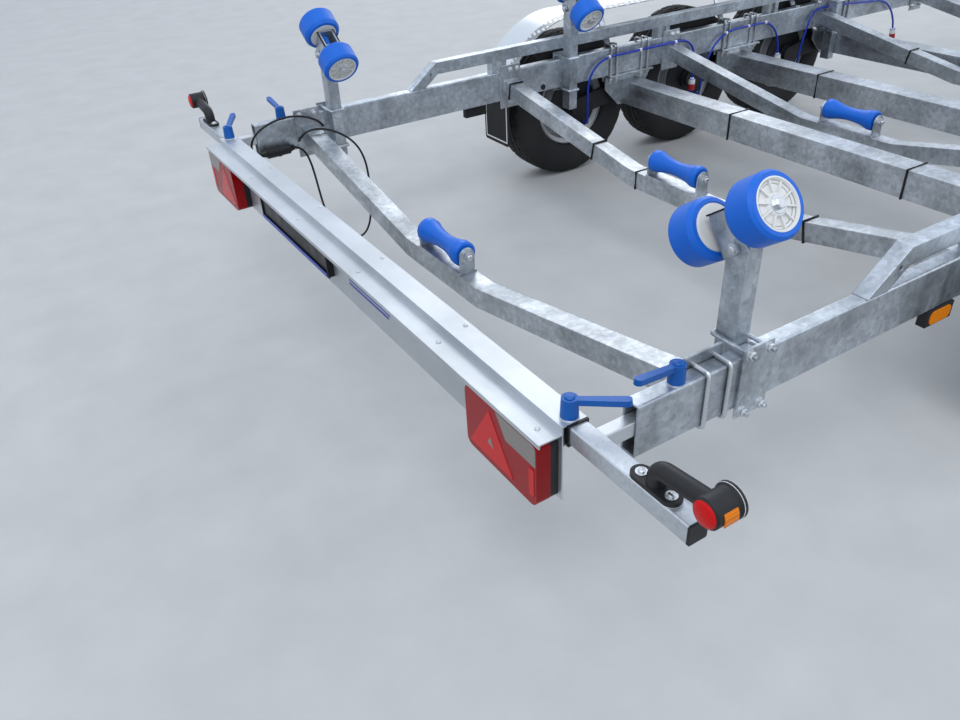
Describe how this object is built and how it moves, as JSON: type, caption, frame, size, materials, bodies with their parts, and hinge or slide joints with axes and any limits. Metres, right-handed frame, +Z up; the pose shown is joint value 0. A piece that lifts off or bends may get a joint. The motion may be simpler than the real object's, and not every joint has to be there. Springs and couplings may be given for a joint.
{
  "type": "boat trailer",
  "caption": "Triple-axle galvanised boat trailer with keel rollers, tilting side rollers, sliding light board and jockey wheel.",
  "frame": {"origin": "middle of the footprint, on the floor", "axes": "+X forward to the coupling, +Y to the trailer's left, +Z up"},
  "size_m": [8.5418, 2.728, 1.341],
  "materials": {
    "galvanised_steel": "satin",
    "black_steel": "satin",
    "bare_aluminium": "satin",
    "black_rubber": "matte",
    "blue_roller": "satin",
    "red_lens": "gloss",
    "black_plastic": "satin",
    "blue_hose": "satin",
    "blue_plastic": "gloss",
    "strap_drum": "matte",
    "tyre_rubber": "matte",
    "painted_rim": "satin"
  },
  "bodies": {
    "chassis": {"side_rails": "galvanised_steel", "upper_rails": "galvanised_steel", "drawbar": "galvanised_steel", "cross_members": "galvanised_steel", "keel_brackets": "galvanised_steel", "axle_beams": "galvanised_steel", "swing_arms": "black_steel", "mudguards": "bare_aluminium", "mudguard_stays": "galvanised_steel", "mudflaps": "black_rubber", "side_posts": "galvanised_steel", "side_markers": "black_rubber", "rail_levers": "blue_plastic", "coupling": "black_steel", "jockey_sleeve": "galvanised_steel", "winch_post": "galvanised_steel", "flush_hoses": "blue_hose", "light_cable": "black_rubber", "cable_connector": "black_plastic"},
    "wheel_left_rear": {"tyre_left_rear": "tyre_rubber", "rim_left_rear": "painted_rim"},
    "wheel_left_middle": {"tyre_left_middle": "tyre_rubber", "rim_left_middle": "painted_rim"},
    "wheel_left_front": {"tyre_left_front": "tyre_rubber", "rim_left_front": "painted_rim"},
    "wheel_right_rear": {"tyre_right_rear": "tyre_rubber", "rim_right_rear": "painted_rim"},
    "wheel_right_middle": {"tyre_right_middle": "tyre_rubber", "rim_right_middle": "painted_rim"},
    "wheel_right_front": {"tyre_right_front": "tyre_rubber", "rim_right_front": "painted_rim"},
    "keel_roller_1": {"keel_roller_1": "blue_roller"},
    "keel_roller_2": {"keel_roller_2": "blue_roller"},
    "keel_roller_3": {"keel_roller_3": "blue_roller"},
    "keel_roller_4": {"keel_roller_4": "blue_roller"},
    "side_bracket_left_1": {"side_bracket_left_1": "galvanised_steel"},
    "side_rollers_left_1": {"side_rollers_left_1": "blue_roller"},
    "side_bracket_left_2": {"side_bracket_left_2": "galvanised_steel"},
    "side_rollers_left_2": {"side_rollers_left_2": "blue_roller"},
    "side_bracket_left_3": {"side_bracket_left_3": "galvanised_steel"},
    "side_rollers_left_3": {"side_rollers_left_3": "blue_roller"},
    "side_bracket_right_1": {"side_bracket_right_1": "galvanised_steel"},
    "side_rollers_right_1": {"side_rollers_right_1": "blue_roller"},
    "side_bracket_right_2": {"side_bracket_right_2": "galvanised_steel"},
    "side_rollers_right_2": {"side_rollers_right_2": "blue_roller"},
    "side_bracket_right_3": {"side_bracket_right_3": "galvanised_steel"},
    "side_rollers_right_3": {"side_rollers_right_3": "blue_roller"},
    "light_board": {"light_board": "bare_aluminium", "tail_lamps": "red_lens", "plate_holder": "black_plastic", "board_levers": "blue_plastic"},
    "marker_arm_left": {"marker_arm_left": "galvanised_steel"},
    "marker_arm_right": {"marker_arm_right": "galvanised_steel"},
    "jockey_leg": {"jockey_leg": "galvanised_steel"},
    "jockey_fork": {"jockey_fork": "galvanised_steel"},
    "jockey_wheel": {"jockey_wheel": "black_rubber"},
    "handbrake": {"handbrake_lever": "black_steel"},
    "bow_roller": {"bow_roller": "blue_roller"},
    "winch_drum": {"winch_drum": "strap_drum"},
    "winch_crank": {"winch_crank": "black_steel"}
  },
  "joints": [
    {"name": "wheel_turn_left_rear", "type": "hinge", "parent": "chassis", "child": "wheel_left_rear", "pos_m": [-2.577, 1.1745, 0.32], "axis": [0, 1, 0], "continuous": true},
    {"name": "wheel_turn_left_middle", "type": "hinge", "parent": "chassis", "child": "wheel_left_middle", "pos_m": [-1.867, 1.1745, 0.32], "axis": [0, 1, 0], "continuous": true},
    {"name": "wheel_turn_left_front", "type": "hinge", "parent": "chassis", "child": "wheel_left_front", "pos_m": [-1.157, 1.1745, 0.32], "axis": [0, 1, 0], "continuous": true},
    {"name": "wheel_turn_right_rear", "type": "hinge", "parent": "chassis", "child": "wheel_right_rear", "pos_m": [-2.577, -1.1745, 0.32], "axis": [0, 1, 0], "continuous": true},
    {"name": "wheel_turn_right_middle", "type": "hinge", "parent": "chassis", "child": "wheel_right_middle", "pos_m": [-1.867, -1.1745, 0.32], "axis": [0, 1, 0], "continuous": true},
    {"name": "wheel_turn_right_front", "type": "hinge", "parent": "chassis", "child": "wheel_right_front", "pos_m": [-1.157, -1.1745, 0.32], "axis": [0, 1, 0], "continuous": true},
    {"name": "keel_roller_turn_1", "type": "hinge", "parent": "chassis", "child": "keel_roller_1", "pos_m": [-3.89, 0, 0.434], "axis": [0, 1, 0], "continuous": true},
    {"name": "keel_roller_turn_2", "type": "hinge", "parent": "chassis", "child": "keel_roller_2", "pos_m": [-2.98, 0, 0.434], "axis": [0, 1, 0], "continuous": true},
    {"name": "keel_roller_turn_3", "type": "hinge", "parent": "chassis", "child": "keel_roller_3", "pos_m": [-2.075, 0, 0.434], "axis": [0, 1, 0], "continuous": true},
    {"name": "keel_roller_turn_4", "type": "hinge", "parent": "chassis", "child": "keel_roller_4", "pos_m": [-1.02, 0, 0.434], "axis": [0, 1, 0], "continuous": true},
    {"name": "bracket_tilt_left_1", "type": "hinge", "parent": "chassis", "child": "side_bracket_left_1", "pos_m": [-3.787, 0.983, 0.772], "axis": [1, 0, 0], "range_deg": [-37, 0]},
    {"name": "rollers_turn_left_1", "type": "hinge", "parent": "side_bracket_left_1", "child": "side_rollers_left_1", "pos_m": [-3.787, 0.95432, 0.81296], "axis": [0, 0.8192, 0.5736], "continuous": true},
    {"name": "bracket_tilt_left_2", "type": "hinge", "parent": "chassis", "child": "side_bracket_left_2", "pos_m": [-2.68, 0.983, 0.772], "axis": [1, 0, 0], "range_deg": [-37, 0]},
    {"name": "rollers_turn_left_2", "type": "hinge", "parent": "side_bracket_left_2", "child": "side_rollers_left_2", "pos_m": [-2.68, 0.95432, 0.81296], "axis": [0, 0.8192, 0.5736], "continuous": true},
    {"name": "bracket_tilt_left_3", "type": "hinge", "parent": "chassis", "child": "side_bracket_left_3", "pos_m": [-0.962, 0.965, 0.772], "axis": [1, 0, 0], "range_deg": [-37, 0]},
    {"name": "rollers_turn_left_3", "type": "hinge", "parent": "side_bracket_left_3", "child": "side_rollers_left_3", "pos_m": [-0.962, 0.93632, 0.81296], "axis": [0, 0.8192, 0.5736], "continuous": true},
    {"name": "bracket_tilt_right_1", "type": "hinge", "parent": "chassis", "child": "side_bracket_right_1", "pos_m": [-3.787, -0.983, 0.772], "axis": [1, 0, 0], "range_deg": [0, 37]},
    {"name": "rollers_turn_right_1", "type": "hinge", "parent": "side_bracket_right_1", "child": "side_rollers_right_1", "pos_m": [-3.787, -0.95432, 0.81296], "axis": [0, -0.8192, 0.5736], "continuous": true},
    {"name": "bracket_tilt_right_2", "type": "hinge", "parent": "chassis", "child": "side_bracket_right_2", "pos_m": [-2.68, -0.983, 0.772], "axis": [1, 0, 0], "range_deg": [0, 37]},
    {"name": "rollers_turn_right_2", "type": "hinge", "parent": "side_bracket_right_2", "child": "side_rollers_right_2", "pos_m": [-2.68, -0.95432, 0.81296], "axis": [0, -0.8192, 0.5736], "continuous": true},
    {"name": "bracket_tilt_right_3", "type": "hinge", "parent": "chassis", "child": "side_bracket_right_3", "pos_m": [-0.962, -0.965, 0.772], "axis": [1, 0, 0], "range_deg": [0, 37]},
    {"name": "rollers_turn_right_3", "type": "hinge", "parent": "side_bracket_right_3", "child": "side_rollers_right_3", "pos_m": [-0.962, -0.93632, 0.81296], "axis": [0, -0.8192, 0.5736], "continuous": true},
    {"name": "board_slide", "type": "slide", "parent": "chassis", "child": "light_board", "axis": [-1, 0, 0], "range_m": [-0.03, 0.62]},
    {"name": "marker_slide_left", "type": "slide", "parent": "light_board", "child": "marker_arm_left", "axis": [0, 1, 0], "range_m": [-0.145, 0.2]},
    {"name": "marker_slide_right", "type": "slide", "parent": "light_board", "child": "marker_arm_right", "axis": [0, -1, 0], "range_m": [-0.145, 0.2]},
    {"name": "jack_slide", "type": "slide", "parent": "chassis", "child": "jockey_leg", "axis": [0, 0, 1], "range_m": [-0.06, 0.15]},
    {"name": "jack_swivel", "type": "hinge", "parent": "jockey_leg", "child": "jockey_fork", "pos_m": [3.11, 0.37792, 0.228], "axis": [0, 0, 1], "continuous": true},
    {"name": "jack_wheel_turn", "type": "hinge", "parent": "jockey_fork", "child": "jockey_wheel", "pos_m": [3.068, 0.37792, 0.11], "axis": [0, 1, 0], "continuous": true},
    {"name": "handbrake_turn", "type": "hinge", "parent": "chassis", "child": "handbrake", "pos_m": [3.7, 0.06, 0.605], "axis": [0, 1, 0], "range_deg": [-12, 60]},
    {"name": "bow_roller_turn", "type": "hinge", "parent": "chassis", "child": "bow_roller", "pos_m": [1.66, 0, 0.985], "axis": [0, 1, 0], "continuous": true},
    {"name": "winch_drum_turn", "type": "hinge", "parent": "chassis", "child": "winch_drum", "pos_m": [1.97, 0, 1.146], "axis": [0, 1, 0], "continuous": true},
    {"name": "winch_crank_turn", "type": "hinge", "parent": "chassis", "child": "winch_crank", "pos_m": [2.04, 0, 1.136], "axis": [0, 1, 0], "continuous": true}
  ],
  "couplings": [
    {"joint": "winch_drum_turn", "follows": "winch_crank_turn", "ratio": -0.2}
  ]
}
